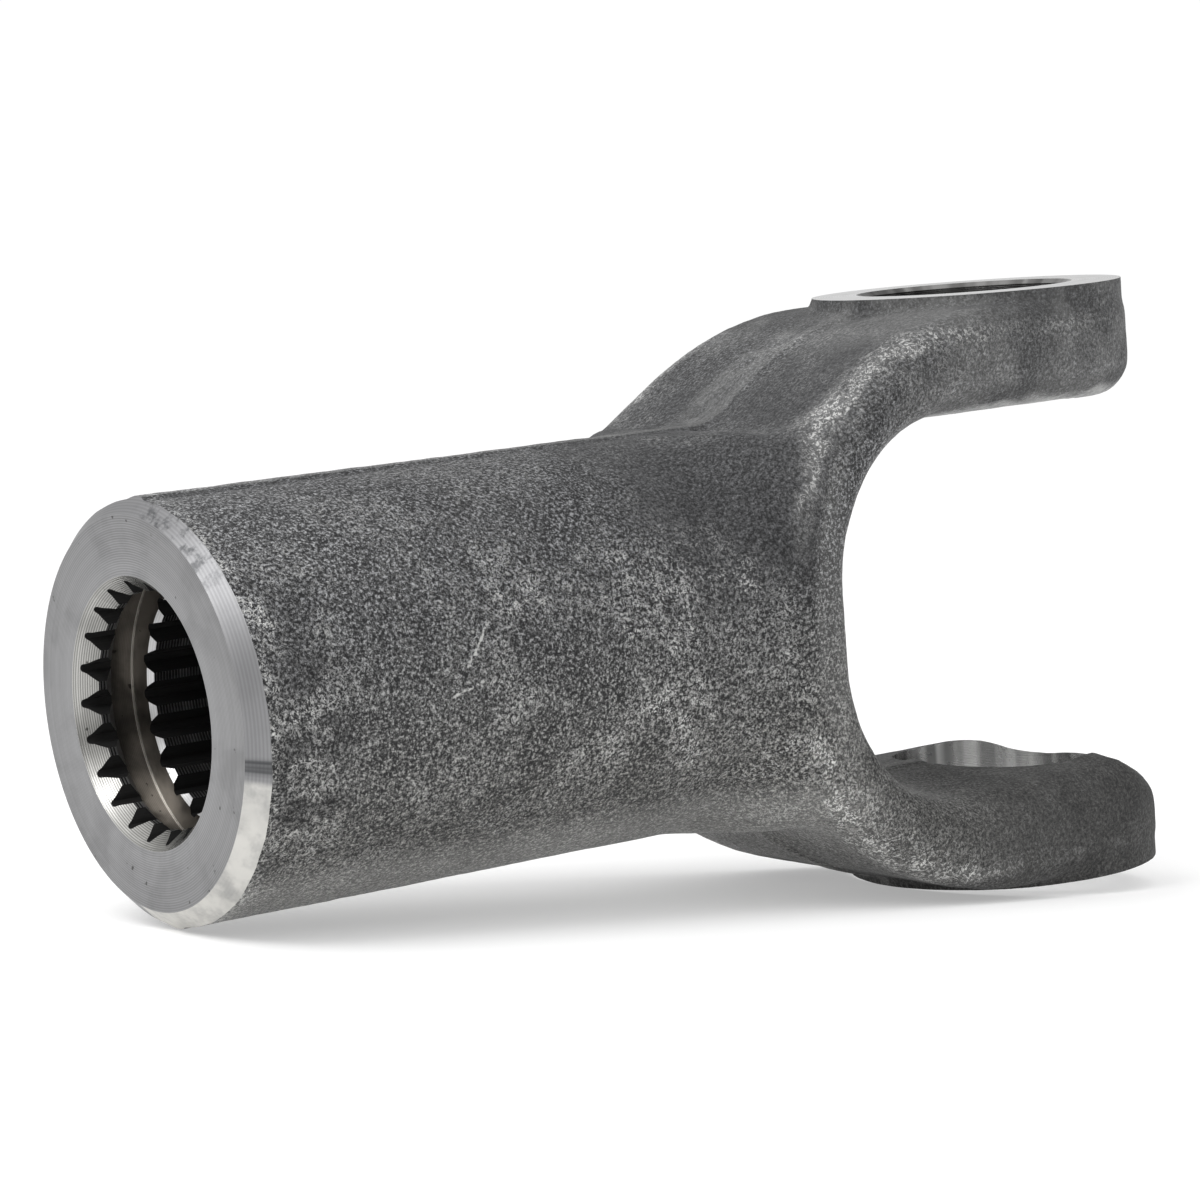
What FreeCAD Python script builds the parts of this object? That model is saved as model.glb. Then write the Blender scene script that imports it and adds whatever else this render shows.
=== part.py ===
import FreeCAD, Part
import math
import os

# Forged yoke of a universal joint: one closed-die steel forging with a long splined hub,
# machined at its end face, its bore and its ears. Millimetres.
# The origin is where the hub's axis (X) crosses the axis of the two ear bores (Z).
# The fork points towards +X, the hub towards -X, and the forging dies part in the plane Y = 0.

Vector = FreeCAD.Vector
X_AXIS = Vector(1, 0, 0)
Y_AXIS = Vector(0, 1, 0)
Z_AXIS = Vector(0, 0, 1)
ORIGIN = Vector(0, 0, 0)

# Ears and the bores for the cross
cross_bore_diameter = 30.2
cross_bore_chamfer = 0.6
ear_span = 85.0
ear_end_radius = 23.0
ear_corner_radius = 3.5
ear_pad_diameter = 45.4
ear_pad_step = 1.1
facing_stock = 1.0
snap_ring_inset = 2.4
snap_ring_groove_width = 1.7
snap_ring_groove_depth = 1.1

# Gap between the ears
ear_thickness = 17.6
gap_root_reach = 43.8
gap_root_flat = 9.8
gap_draft = 9.0
gap_parting_blend = 2.0
gap_edge_radius = 6.0
gap_sections = 9

# Relief at the tip of the lower ear, through which the cross is tipped in
relief_start = 5.5
relief_depth = 3.7
relief_radius = 9.0

# Arms that rise from the hub to the ears, placed from the root of the gap
arm_crown_radius = 50.0
arm_foot_radius = 12.0
foot_behind_root = 9.0
arm_sections = 7
arm_corner_radius = 7.0
corner_behind_root = 3.2
web_behind_root = 11.2
shoulder_length = 12.0
flank_taper = 5.5

# Hub
hub_face_reach = 142.0
hub_diameter = 55.6
hub_face_diameter = 51.2

# Splined bore
spline_teeth = 22
spline_module = 1.46
spline_pressure_angle = 45.0
spline_tip_diameter = 31.0
spline_form_diameter = 33.6
spline_root_diameter = 34.1
countersink_diameter = 35.5
countersink_half_angle = 40.0
spline_exit_chamfer = 1.6

# Ring groove behind the first short stretch of teeth
ring_groove_start = 5.3
ring_groove_width = 5.0
ring_groove_diameter = 40.4
ring_groove_lead_in = 1.9
ring_groove_lead_out = 1.0

# Trimmed flash along the parting line
flash_width = 2.6
flash_height = 0.4
flash_tip_radius = 12.0

# The forging sits this far off centre on the lathe, so the hub's chamfer is wider below and in front
forging_shift = Vector(0, -0.4, -0.3)

# A cutting tool runs this far past what it cuts
overrun = 5.0

# Outlines of two forms that meet within this distance become one edge
seam_tolerance = 0.05

# A rounded section keeps this much of its flat sides
least_flat = 0.1

hub_radius = hub_diameter / 2
hub_face_x = -hub_face_reach
half_span = ear_span / 2
arm_height = half_span - ear_pad_step
half_gap = half_span - ear_thickness
gap_corner_radius = half_gap - gap_root_flat / 2
foot_reach = gap_root_reach + foot_behind_root
arm_corner_reach = gap_root_reach + corner_behind_root
web_reach = gap_root_reach + web_behind_root
shoulder_reach = web_reach + shoulder_length


def arc_through(start, middle, end):
    return Part.Arc(start, middle, end).toShape()


def line(start, end):
    return Part.LineSegment(start, end).toShape()


def solid_of_revolution(profile, axis):
    """Turn a closed outline, given as points in the plane Y = 0, about an axis through the origin."""
    face = Part.Face(Part.makePolygon(profile + [profile[0]]))
    return face.revolve(ORIGIN, axis, 360)


def crown_centre_x():
    """Where the crown of the arm's outline, tangent to the hollow foot and to the ear, is centred."""
    rise = hub_radius + arm_foot_radius - arm_height + arm_crown_radius
    return -foot_reach + math.sqrt((arm_foot_radius + arm_crown_radius) ** 2 - rise ** 2)


def foot_end_x():
    """Where the arm's outline changes from its hollow foot to its crown."""
    share = arm_foot_radius / (arm_foot_radius + arm_crown_radius)
    return -foot_reach + share * (crown_centre_x() + foot_reach)


def arm_top(x):
    """Height of the forging above the hub's axis, along the parting line."""
    if x <= -foot_reach:
        return hub_radius
    if x < foot_end_x():
        run = x + foot_reach
        return hub_radius + arm_foot_radius - math.sqrt(arm_foot_radius ** 2 - run ** 2)
    run = min(x - crown_centre_x(), 0)
    return arm_height - arm_crown_radius + math.sqrt(arm_crown_radius ** 2 - run ** 2)


def flank(x):
    """Half the width of the fork, where its tapered flanks run tangent to the ears' round ends."""
    taper = math.radians(flank_taper)
    return (ear_end_radius - x * math.sin(taper)) / math.cos(taper)


def eased(share):
    """A share held between 0 and 1 that starts and ends level."""
    share = min(max(share, 0), 1)
    return share * share * (3 - 2 * share)


def half_width(x):
    """Half the width of the forging, from the hub's side into the tapered flanks without a crease."""
    if x >= -web_reach:
        return flank(x)
    length = shoulder_reach - web_reach
    share = (x + shoulder_reach) / length
    turn = math.tan(math.radians(flank_taper)) * length * share * share * (1 - share)
    return hub_radius + (flank(-web_reach) - hub_radius) * eased(share) + turn


def corner_radius(x):
    """Radius of the section's corners: almost a circle at the hub, then the arm's, then the ear's."""
    round_hub = hub_radius - least_flat
    squared = eased((x + shoulder_reach) / (shoulder_reach - arm_corner_reach))
    arm = round_hub + (arm_corner_radius - round_hub) * squared
    sharpened = eased((x + arm_corner_reach) / (arm_corner_reach + crown_centre_x()))
    return arm + (ear_corner_radius - arm) * sharpened


def arm_section(x):
    """Outline across both arms: a rectangle with rounded corners, almost a circle at the hub."""
    half_height = arm_top(x)
    side_y = half_width(x)
    corner = corner_radius(x)
    flat_y = side_y - corner
    flat_z = half_height - corner
    slant = corner * math.sqrt(0.5)
    edges = []
    for sy, sz in ((1, 1), (-1, 1), (-1, -1), (1, -1)):
        # Each quarter gives one rounded corner and the flat side after it
        side = Vector(x, sy * side_y, sz * flat_z)
        top = Vector(x, sy * flat_y, sz * half_height)
        middle = Vector(x, sy * (flat_y + slant), sz * (flat_z + slant))
        if sy == sz:
            edges.append(arc_through(side, middle, top))
            edges.append(line(top, Vector(x, -sy * flat_y, sz * half_height)))
        else:
            edges.append(arc_through(top, middle, side))
            edges.append(line(side, Vector(x, sy * side_y, -sz * flat_z)))
    return Part.Wire(edges)


def lofted(begin, finish):
    """A smooth run of arm sections between two places along the hub's axis."""
    step = (finish - begin) / (arm_sections - 1)
    return Part.makeLoft([arm_section(begin + step * index) for index in range(arm_sections)], True, False)


def arms():
    """Both arms as one rounded form, before the gap is taken out of it."""
    return lofted(-shoulder_reach, -web_reach).fuse(lofted(-web_reach, crown_centre_x()))


def ear_block():
    """Both ears in one block with a round end about the bores' axis, its long edges rounded."""
    height = arm_height
    start = crown_centre_x()
    taper = math.radians(flank_taper)
    tangent = Vector(ear_end_radius * math.sin(taper), ear_end_radius * math.cos(taper), -height)
    opposite = Vector(tangent.x, -tangent.y, -height)
    tip = Vector(ear_end_radius, 0, -height)
    far_corner = Vector(start, flank(start), -height)
    near_corner = Vector(start, -flank(start), -height)
    outline = Part.Wire([
        line(near_corner, opposite),
        arc_through(opposite, tip, tangent),
        line(tangent, far_corner),
        line(far_corner, near_corner),
    ])
    block = Part.Face(outline).extrude(Vector(0, 0, 2 * height))
    rims = [edge for edge in block.Edges
            if edge.BoundBox.ZLength < 1e-6 and edge.BoundBox.XMax > start + 1e-6]
    return block.makeFillet(ear_corner_radius, rims)


def ear_pads():
    """The raised round pads outside the ears, with stock for the facing cut."""
    bottom = arm_height - ear_corner_radius
    top = half_span + facing_stock
    pad = Part.makeCylinder(ear_pad_diameter / 2, top - bottom, Vector(0, 0, bottom), Z_AXIS)
    return pad.fuse(pad.mirror(ORIGIN, Z_AXIS))


def gap_outline(y, inset=0.0):
    """Outline of the gap at a distance from the parting plane, from which its walls are drafted.

    An inset draws it that much inside the gap's walls.
    """
    widening = math.hypot(y * math.tan(math.radians(gap_draft)), gap_parting_blend) - gap_parting_blend
    widening -= inset
    root = -gap_root_reach - widening
    height = half_gap + widening
    corner = gap_corner_radius + widening
    mouth = ear_end_radius + overrun
    slant = corner * (1 - math.sqrt(0.5))

    # The relief is an S of two arcs from the lower ear's inner face down to its tip
    turn = math.acos(1 - relief_depth / (2 * relief_radius))
    run = relief_radius * math.sin(turn)
    half_run = relief_radius * math.sin(turn / 2)
    half_drop = relief_radius * (1 - math.cos(turn / 2))
    relief_end = relief_start + 2 * run
    low = -height - relief_depth
    return Part.Wire([
        line(Vector(mouth, y, low), Vector(relief_end, y, low)),
        arc_through(Vector(relief_end, y, low), Vector(relief_end - half_run, y, low + half_drop),
                    Vector(relief_start + run, y, -height - relief_depth / 2)),
        arc_through(Vector(relief_start + run, y, -height - relief_depth / 2),
                    Vector(relief_start + half_run, y, -height - half_drop),
                    Vector(relief_start, y, -height)),
        line(Vector(relief_start, y, -height), Vector(root + corner, y, -height)),
        arc_through(Vector(root + corner, y, -height), Vector(root + slant, y, -height + slant),
                    Vector(root, y, -height + corner)),
        line(Vector(root, y, -height + corner), Vector(root, y, height - corner)),
        arc_through(Vector(root, y, height - corner), Vector(root + slant, y, height - slant),
                    Vector(root + corner, y, height)),
        line(Vector(root + corner, y, height), Vector(mouth, y, height)),
        line(Vector(mouth, y, height), Vector(mouth, y, low)),
    ])


def gap():
    """The gap between the ears, narrowest at the parting plane."""
    side = hub_radius + overrun
    step = 2 * side / (gap_sections - 1)
    return Part.makeLoft([gap_outline(-side + step * index) for index in range(gap_sections)], True, False)


def lies_on(point, shape):
    return Part.Vertex(point).distToShape(shape)[0] < 1e-4


def gap_edges(body, blank, cutter):
    """The edges that the gap leaves on the outside of the fork."""
    skin = blank.Shells[0]
    wall = cutter.Shells[0]
    found = []
    for edge in body.Edges:
        middle = edge.valueAt((edge.FirstParameter + edge.LastParameter) / 2)
        if lies_on(middle, skin) and lies_on(middle, wall):
            found.append(edge)
    return found


def fork_blank():
    """The forging with its ears still joined, before the gap."""
    hub_length = hub_face_reach - shoulder_reach
    hub = Part.makeCylinder(hub_radius, hub_length, Vector(hub_face_x, 0, 0), X_AXIS)
    return arms().fuse([hub, ear_block(), ear_pads()], seam_tolerance).removeSplitter()


def forging():
    """The blank opened by the gap, with the gap's edges rounded as the dies leave them."""
    blank = fork_blank()
    cutter = gap()
    body = blank.cut(cutter)
    return body.makeFillet(gap_edge_radius, gap_edges(body, blank, cutter))


def flash_rim(side):
    """Half of the flash's outer outline, above the axis or below it (side 1 or -1), hub first."""
    crest_z = side * (arm_height + flash_height)
    hub_z = side * (hub_radius + flash_height)
    foot_radius = arm_foot_radius - flash_height
    crown_radius = arm_crown_radius + flash_height
    foot = Vector(-foot_reach, 0, side * (hub_radius + arm_foot_radius))
    crown = Vector(crown_centre_x(), 0, side * (arm_height - arm_crown_radius))
    reach = (crown - foot).normalize()
    change = foot + reach * foot_radius
    to_hub = (reach - Z_AXIS * side).normalize()
    to_crest = (Z_AXIS * side - reach).normalize()
    return [
        line(Vector(hub_face_x, 0, hub_z), Vector(foot.x, 0, hub_z)),
        arc_through(Vector(foot.x, 0, hub_z), foot + to_hub * foot_radius, change),
        arc_through(change, crown + to_crest * crown_radius, Vector(crown.x, 0, crest_z)),
        line(Vector(crown.x, 0, crest_z), Vector(ear_end_radius + flash_height, 0, crest_z)),
    ]


def flash_corners(plate, inner):
    """The corners of the flash at the ears' tips, on the gap's side or on the outside."""
    tip_x = ear_end_radius + flash_height
    corners = [edge for edge in plate.Edges
               if edge.BoundBox.XMin > tip_x - 1e-3 and edge.BoundBox.YLength > flash_width - 1e-3]
    return [edge for edge in corners if (abs(edge.BoundBox.ZMin) < arm_height) == inner]


def flash():
    """The low ridge left where the flash was trimmed off, all round the parting line."""
    crest_z = arm_height + flash_height
    hub_z = hub_radius + flash_height
    tip_x = ear_end_radius + flash_height
    outline = flash_rim(1) + flash_rim(-1) + [
        line(Vector(tip_x, 0, crest_z), Vector(tip_x, 0, -crest_z)),
        line(Vector(hub_face_x, 0, -hub_z), Vector(hub_face_x, 0, hub_z)),
    ]
    run = Vector(0, flash_width, 0)
    plate = Part.Face(Part.Wire(Part.__sortEdges__(outline))).extrude(run)
    opening = Part.Face(gap_outline(0, flash_height)).extrude(run)
    plate = plate.cut(opening)
    plate = plate.makeFillet(flash_tip_radius, flash_corners(plate, True))
    plate = plate.makeFillet(ear_corner_radius + flash_height, flash_corners(plate, False))
    plate.translate(run * -0.5)
    return plate


def involute(angle):
    return math.tan(angle) - angle


def space_half_angle(radius):
    """Half the angle that a space between spline teeth takes up at a radius."""
    pressure_angle = math.radians(spline_pressure_angle)
    base_radius = spline_module * spline_teeth / 2 * math.cos(pressure_angle)
    return (math.pi / (2 * spline_teeth) + involute(pressure_angle)
            - involute(math.acos(base_radius / radius)))


def around_hub(radius, angle):
    return Vector(hub_face_x - overrun, radius * math.cos(angle), radius * math.sin(angle))


def spline_outline():
    """The bore with its involute spaces, each with a rounded root."""
    tip = spline_tip_diameter / 2
    form = spline_form_diameter / 2
    root = spline_root_diameter / 2
    flank_middle = (tip + form) / 2
    pitch = 2 * math.pi / spline_teeth
    edges = []
    for tooth in range(spline_teeth):
        centre = math.pi / 2 + (tooth + 0.5) * pitch
        wide = space_half_angle(tip)
        mid = space_half_angle(flank_middle)
        narrow = space_half_angle(form)
        edges.append(arc_through(around_hub(tip, centre - wide), around_hub(flank_middle, centre - mid),
                                 around_hub(form, centre - narrow)))
        edges.append(arc_through(around_hub(form, centre - narrow), around_hub(root, centre),
                                 around_hub(form, centre + narrow)))
        edges.append(arc_through(around_hub(form, centre + narrow), around_hub(flank_middle, centre + mid),
                                 around_hub(tip, centre + wide)))
        edges.append(arc_through(around_hub(tip, centre + wide), around_hub(tip, centre + pitch / 2),
                                 around_hub(tip, centre + pitch - wide)))
    return Part.Wire(edges)


def spline_broach():
    """What the broach takes out, from the hub's face into the gap."""
    length = hub_face_reach - gap_root_reach + 2 * overrun
    return Part.Face(spline_outline()).extrude(Vector(length, 0, 0))


def turned_bore():
    """What the lathe takes out of the bore: the countersink, the ring groove and the relieved exit."""
    tip = spline_tip_diameter / 2
    root = spline_root_diameter / 2
    mouth = countersink_diameter / 2
    slope = math.tan(math.radians(countersink_half_angle))
    countersink = solid_of_revolution([
        Vector(hub_face_x - overrun, 0, 0),
        Vector(hub_face_x - overrun, 0, mouth + overrun * slope),
        Vector(hub_face_x + mouth / slope, 0, 0),
    ], X_AXIS)
    start = hub_face_x + ring_groove_start
    end = start + ring_groove_width
    depth = ring_groove_diameter / 2
    groove = solid_of_revolution([
        Vector(start - ring_groove_lead_in, 0, 0),
        Vector(start - ring_groove_lead_in, 0, tip),
        Vector(start, 0, root),
        Vector(start, 0, depth),
        Vector(end, 0, depth),
        Vector(end, 0, root),
        Vector(end + ring_groove_lead_out, 0, tip),
        Vector(end + ring_groove_lead_out, 0, 0),
    ], X_AXIS)
    exit_x = -gap_root_reach
    relieved = root + spline_exit_chamfer
    leave = solid_of_revolution([
        Vector(exit_x - (relieved - tip), 0, 0),
        Vector(exit_x - (relieved - tip), 0, tip),
        Vector(exit_x, 0, relieved),
        Vector(exit_x + gap_corner_radius, 0, relieved),
        Vector(exit_x + gap_corner_radius, 0, 0),
    ], X_AXIS)
    return countersink.fuse([groove, leave])


def hub_facing():
    """What the lathe takes off outside: the stock in front of the face and the chamfered rim."""
    rim = hub_face_diameter / 2
    wide = hub_radius + flash_height + overrun
    return solid_of_revolution([
        Vector(hub_face_x - overrun, 0, rim - overrun),
        Vector(hub_face_x, 0, rim),
        Vector(hub_face_x + wide - rim, 0, wide),
        Vector(hub_face_x - overrun, 0, wide),
    ], X_AXIS)


def cross_bores():
    """What is bored and faced off the ears, with the snap ring grooves and the edge chamfers."""
    radius = cross_bore_diameter / 2
    groove_radius = radius + snap_ring_groove_depth
    groove_top = half_span - snap_ring_inset
    groove_bottom = groove_top - snap_ring_groove_width
    top = half_span + overrun
    faced = ear_end_radius + overrun
    return solid_of_revolution([
        Vector(0, 0, -top),
        Vector(faced, 0, -top),
        Vector(faced, 0, -half_span),
        Vector(radius + cross_bore_chamfer, 0, -half_span),
        Vector(radius, 0, -half_span + cross_bore_chamfer),
        Vector(radius, 0, -groove_top),
        Vector(groove_radius, 0, -groove_top),
        Vector(groove_radius, 0, -groove_bottom),
        Vector(radius, 0, -groove_bottom),
        Vector(radius, 0, groove_bottom),
        Vector(groove_radius, 0, groove_bottom),
        Vector(groove_radius, 0, groove_top),
        Vector(radius, 0, groove_top),
        Vector(radius, 0, half_span - cross_bore_chamfer),
        Vector(radius + cross_bore_chamfer, 0, half_span),
        Vector(faced, 0, half_span),
        Vector(faced, 0, top),
        Vector(0, 0, top),
    ], Z_AXIS)


def yoke():
    raw = forging().fuse(flash())
    raw.translate(forging_shift)
    machined = raw.cut(hub_facing()).cut(cross_bores())
    machined = machined.cut(turned_bore()).cut(spline_broach())
    return machined.removeSplitter()


if __name__ == "__main__":
    os.makedirs("parts", exist_ok=True)
    yoke().exportStep("parts/yoke.step")
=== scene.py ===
"""Studio picture of a forged slip yoke: forged skin, turned hub end, splined bore and bored ears."""

import logging
import math
from dataclasses import dataclass, field
from enum import Enum
from functools import partial, reduce
from typing import NamedTuple, Optional, Union

import bmesh
import bpy
import numpy as np
from mathutils import Matrix, Vector, noise

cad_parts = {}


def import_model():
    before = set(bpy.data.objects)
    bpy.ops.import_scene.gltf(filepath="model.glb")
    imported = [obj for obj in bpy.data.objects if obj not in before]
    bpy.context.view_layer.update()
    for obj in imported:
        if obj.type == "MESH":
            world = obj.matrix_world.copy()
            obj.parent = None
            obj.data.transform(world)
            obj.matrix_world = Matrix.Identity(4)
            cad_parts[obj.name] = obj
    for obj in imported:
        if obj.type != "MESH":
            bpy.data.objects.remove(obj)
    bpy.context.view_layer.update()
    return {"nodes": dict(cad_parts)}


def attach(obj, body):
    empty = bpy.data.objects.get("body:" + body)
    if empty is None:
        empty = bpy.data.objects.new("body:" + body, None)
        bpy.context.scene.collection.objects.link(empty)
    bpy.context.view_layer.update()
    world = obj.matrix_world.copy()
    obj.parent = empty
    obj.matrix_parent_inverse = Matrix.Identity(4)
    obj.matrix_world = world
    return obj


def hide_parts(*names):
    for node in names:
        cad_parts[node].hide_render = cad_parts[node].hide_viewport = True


LOG = logging.getLogger("yoke")
MM = 0.001
NODE = "yoke"

Point = tuple[float, float, float]
Colour = tuple[float, float, float]
Profile = list[tuple[float, float, int]]
Socket = bpy.types.NodeSocket
Value = Union[bpy.types.NodeSocket, float]
Fades = tuple[tuple[Union[str, float], ...], ...]


class Axis(Enum):
    """Axis that a turned or bored form is turned about."""

    HUB = "X"
    EARS = "Z"


class Slot(Enum):
    """Finishes of the yoke, in the order of its material slots."""

    SKIN = 0
    TURNED = 1
    COUNTERSINK = 2
    LAND = 3
    SPACE = 4
    GROOVE = 5
    TOOTH_END = 6
    EAR_BORE = 7
    EAR_PAD = 8
    RIM = 9


class Grain(NamedTuple):
    """A noise texture: features to the metre, octaves, what each octave keeps, and its warp."""

    scale: float
    detail: float = 4.0
    roughness: float = 0.6
    distortion: float = 0.0


@dataclass(frozen=True)
class YokeSizes:
    """Sizes of the yoke in millimetres: the CAD model's, except for some fine forms of the teeth."""

    hub_face_x: float = -142.0
    hub_radius: float = 27.8
    hub_face_radius: float = 25.6
    bore_tip_radius: float = 15.5
    bore_form_radius: float = 16.5
    bore_root_radius: float = 17.1
    bore_exit_x: float = -43.8
    bore_exit_length: float = 20.0
    bore_exit_chamfer: float = 1.6
    countersink_radius: float = 17.75
    countersink_half_angle: float = 40.0
    teeth: int = 22
    spline_module: float = 1.46
    spline_pressure_angle: float = 45.0
    groove_start: float = 5.3
    groove_width: float = 5.0
    groove_radius: float = 20.2
    groove_lead_in: float = 1.4
    groove_lead_out: float = 0.7
    ear_bore_radius: float = 15.1
    ear_bore_chamfer: float = 0.6
    ear_pad_radius: float = 22.7
    ear_end_radius: float = 23.4
    half_span: float = 42.5
    gap_flat: float = 4.9
    gap_corner: float = 20.0
    snap_groove_inset: float = 2.4
    snap_groove_width: float = 1.7
    snap_groove_depth: float = 1.1
    flash_width: float = 2.6
    flash_height: float = 0.4
    forging_shift_y: float = -0.4
    forging_shift_z: float = -0.3


def grey(tone: float) -> Colour:
    """A neutral grey."""
    return (tone, tone, tone)


def link(piece: bpy.types.Object) -> bpy.types.Object:
    """Put an object into the scene and return it."""
    bpy.context.scene.collection.objects.link(piece)
    return piece


def new_object(name: str, shape: bmesh.types.BMesh) -> bpy.types.Object:
    """Make a scene object from a bmesh and free the bmesh.

    Args:
        name: Name of the object and of its mesh.
        shape: Closed or open bmesh in metres.

    Returns:
        The linked object.
    """
    mesh = bpy.data.meshes.new(name)
    shape.to_mesh(mesh)
    shape.free()
    return link(bpy.data.objects.new(name, mesh))


def settle(piece: bpy.types.Object) -> None:
    """Apply all modifiers of an object to its mesh.

    Args:
        piece: The object.
    """
    bpy.context.view_layer.update()
    evaluated = piece.evaluated_get(bpy.context.evaluated_depsgraph_get())
    mesh = bpy.data.meshes.new_from_object(evaluated)
    piece.modifiers.clear()
    old = piece.data
    piece.data = mesh
    bpy.data.meshes.remove(old)


class Nodes:
    """Adds and wires the nodes of one tree."""

    def __init__(self, tree: bpy.types.NodeTree) -> None:
        """Keep the tree that the nodes go into.

        Args:
            tree: The tree.
        """
        self.tree = tree

    def add(self, kind: str, **settings: object) -> bpy.types.Node:
        """Add a node and set its properties.

        Args:
            kind: Blender's name of the node type.
            **settings: Properties of the node by name.

        Returns:
            The new node.
        """
        node = self.tree.nodes.new(kind)
        for name, value in settings.items():
            setattr(node, name, value)
        return node

    def put(self, socket: Socket, value: object) -> None:
        """Set a socket from a plain value or link it from another socket.

        Args:
            socket: The input.
            value: Plain value, colour without its alpha, or output socket.
        """
        if isinstance(value, bpy.types.NodeSocket):
            self.tree.links.new(value, socket)
        elif isinstance(value, tuple) and len(value) == 3 and socket.type == "RGBA":
            socket.default_value = (*value, 1.0)
        else:
            socket.default_value = value

    def fill(self, node: bpy.types.Node, **values: object) -> bpy.types.Node:
        """Give a node its inputs and return it.

        Args:
            node: The node.
            **values: Value or socket of each input, with underscores for spaces.

        Returns:
            The same node.
        """
        for name, value in values.items():
            self.put(node.inputs[name.replace("_", " ")], value)
        return node

    def math(self, operation: str, first: Value, second: Value = 0.0, clamp: bool = False) -> Socket:
        """Combine two values.

        Args:
            operation: Blender's name of the operation.
            first: First value or socket.
            second: Second value or socket.
            clamp: Whether the result is held between 0 and 1.

        Returns:
            The result's socket.
        """
        node = self.add("ShaderNodeMath", operation=operation, use_clamp=clamp)
        self.put(node.inputs[0], first)
        self.put(node.inputs[1], second)
        return node.outputs[0]

    def product(self, *values: Value) -> Socket:
        """Multiply values."""
        return reduce(partial(self.math, "MULTIPLY"), values)

    def total(self, *values: Value) -> Socket:
        """Add values up."""
        return reduce(partial(self.math, "ADD"), values)

    def most(self, *values: Value) -> Socket:
        """Take the largest of several values."""
        return reduce(partial(self.math, "MAXIMUM"), values)

    def less(self, first: Value, second: Value) -> Socket:
        """Take the second value from the first."""
        return self.math("SUBTRACT", first, second)

    def size(self, value: Value) -> Socket:
        """Drop the sign of a value."""
        return self.math("ABSOLUTE", value)

    def reach(self, first: Value, second: Value) -> Socket:
        """Distance from the origin of a point in a plane."""
        return self.math("SQRT", self.total(self.math("POWER", first, 2.0), self.math("POWER", second, 2.0)))

    def axes(self, vector: Socket) -> tuple[Socket, Socket, Socket]:
        """X, Y and Z of a vector."""
        node = self.fill(self.add("ShaderNodeSeparateXYZ"), Vector=vector)
        return node.outputs["X"], node.outputs["Y"], node.outputs["Z"]

    def ramp(self, value: Value, low: Value, high: Value, start: float = 0.0, end: float = 1.0) -> Socket:
        """Map a value smoothly from one range to another, held at both ends.

        Args:
            value: Value or socket.
            low: Input that gives the start.
            high: Input that gives the end.
            start: Result at the low input.
            end: Result at the high input.

        Returns:
            The mapped value's socket.
        """
        node = self.add("ShaderNodeMapRange", interpolation_type="SMOOTHSTEP", clamp=True)
        self.fill(node, Value=value, From_Min=low, From_Max=high, To_Min=start, To_Max=end)
        return node.outputs["Result"]

    def mix(self, factor: Value, first: object, second: object, blend: str = "MIX") -> Socket:
        """Mix two colours.

        Args:
            factor: Share of the second colour.
            first: First colour or socket.
            second: Second colour or socket.
            blend: Blender's name of the blend mode.

        Returns:
            The mixed colour's socket.
        """
        node = self.add("ShaderNodeMix", data_type="RGBA", blend_type=blend, clamp_result=True)
        self.put(node.inputs["Factor"], factor)
        self.put(node.inputs[6], first)
        self.put(node.inputs[7], second)
        return node.outputs[2]

    def grain(self, vector: Socket, grain: Grain) -> Socket:
        """Value of a noise texture.

        Args:
            vector: Place in metres.
            grain: What the noise is like.

        Returns:
            The noise value's socket.
        """
        node = self.add("ShaderNodeTexNoise", noise_dimensions="3D")
        self.fill(node, Vector=vector, Scale=grain.scale, Detail=grain.detail,
                  Roughness=grain.roughness, Distortion=grain.distortion)
        return node.outputs["Fac"]

    def line_grain(self, along: Value, detail: float, roughness: float = 0.5) -> Socket:
        """Value of a noise that varies along one measure only.

        Args:
            along: The measure, one feature to the unit.
            detail: Octaves of the noise.
            roughness: Share that each octave keeps.

        Returns:
            The noise value's socket.
        """
        node = self.add("ShaderNodeTexNoise", noise_dimensions="1D")
        return self.fill(node, W=along, Scale=1.0, Detail=detail, Roughness=roughness).outputs["Fac"]

    def bump(self, height: Socket, distance: float) -> Socket:
        """Turn a height into a normal.

        Args:
            height: Height as a share.
            distance: Height in metres that a share of 1 stands for.

        Returns:
            The normal's socket.
        """
        node = self.fill(self.add("ShaderNodeBump"), Strength=1.0, Distance=distance, Height=height)
        return node.outputs["Normal"]


class Group(Nodes):
    """A shader node group with named sockets."""

    def __init__(self, name: str, inputs: dict[str, object], outputs: tuple[str, ...]) -> None:
        """Start the group.

        Args:
            name: Name of the group.
            inputs: Default of each input: nothing for a vector, a number, or a colour.
            outputs: Name of each output; the one called Colour is a colour, the others are numbers.
        """
        super().__init__(bpy.data.node_groups.new(name, "ShaderNodeTree"))
        kinds = {type(None): "NodeSocketVector", float: "NodeSocketFloat", tuple: "NodeSocketColor"}
        for title, default in inputs.items():
            kind = kinds[type(default)]
            item = self.tree.interface.new_socket(name=title, in_out="INPUT", socket_type=kind)
            if isinstance(default, tuple):
                item.default_value = (*default, 1.0)
            elif default is not None:
                item.default_value = default
        for title in outputs:
            kind = kinds[tuple] if title == "Colour" else kinds[float]
            self.tree.interface.new_socket(name=title, in_out="OUTPUT", socket_type=kind)
        sockets = self.add("NodeGroupInput").outputs
        self.given = {title: sockets[title] for title in inputs}
        self.leave = self.add("NodeGroupOutput")

    def give(self, **values: Socket) -> bpy.types.NodeTree:
        """Link the results to the outputs and return the group.

        Args:
            **values: Socket of each output, with underscores for spaces.

        Returns:
            The finished group.
        """
        self.fill(self.leave, **values)
        return self.tree


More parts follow.
